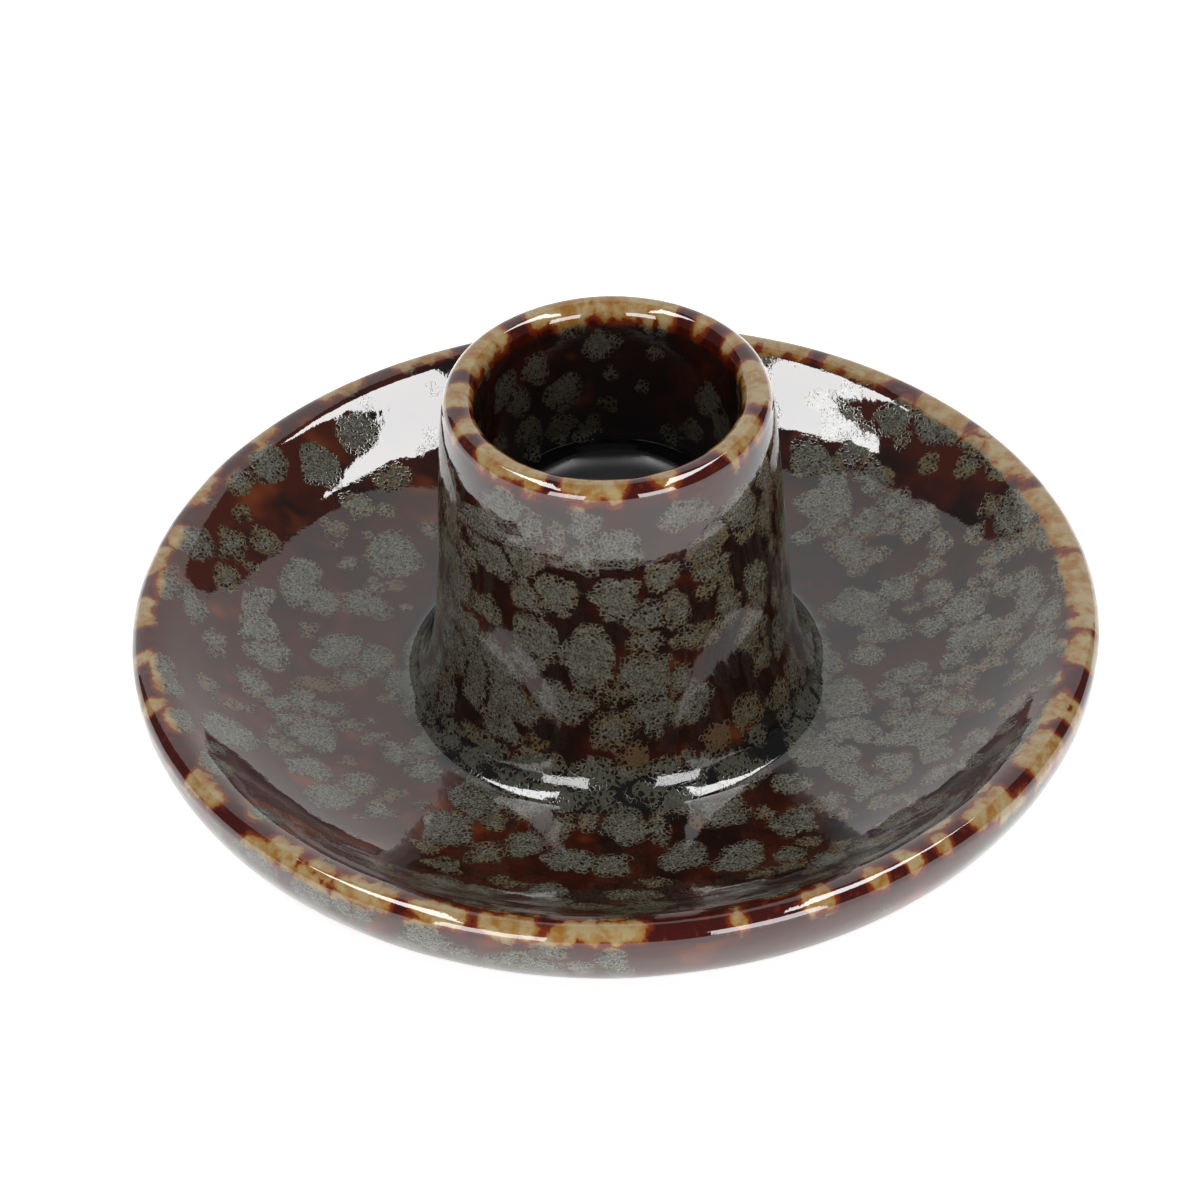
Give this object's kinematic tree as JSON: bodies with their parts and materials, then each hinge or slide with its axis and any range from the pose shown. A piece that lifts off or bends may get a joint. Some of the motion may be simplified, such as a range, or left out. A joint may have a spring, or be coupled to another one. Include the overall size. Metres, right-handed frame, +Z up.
{
  "type": "candle holder",
  "caption": "Small glazed stoneware candle holder: a shallow round drip saucer on a foot ring, with a tapered central socket for a dinner candle.",
  "frame": {"origin": "centre of the foot ring on the plane of the table, on the axis of the socket", "axes": "+Z up along the axis of the socket; the part is round, so +X and +Y are any two level directions at right angles"},
  "size_m": [0.088, 0.088, 0.038],
  "materials": {
    "bare_clay": "bare fired stoneware, buff, sanded smooth where it meets the table",
    "glaze_saucer": "glossy dark red-brown reactive glaze with clustered grey-green spots, breaking to tan on the rim",
    "glaze_socket": "glossy dark red-brown reactive glaze with clustered grey-green spots, breaking to tan on the lip"
  },
  "bodies": {
    "root": {"foot_ring": "bare_clay", "drip_saucer": "glaze_saucer", "candle_socket": "glaze_socket"}
  },
  "joints": []
}
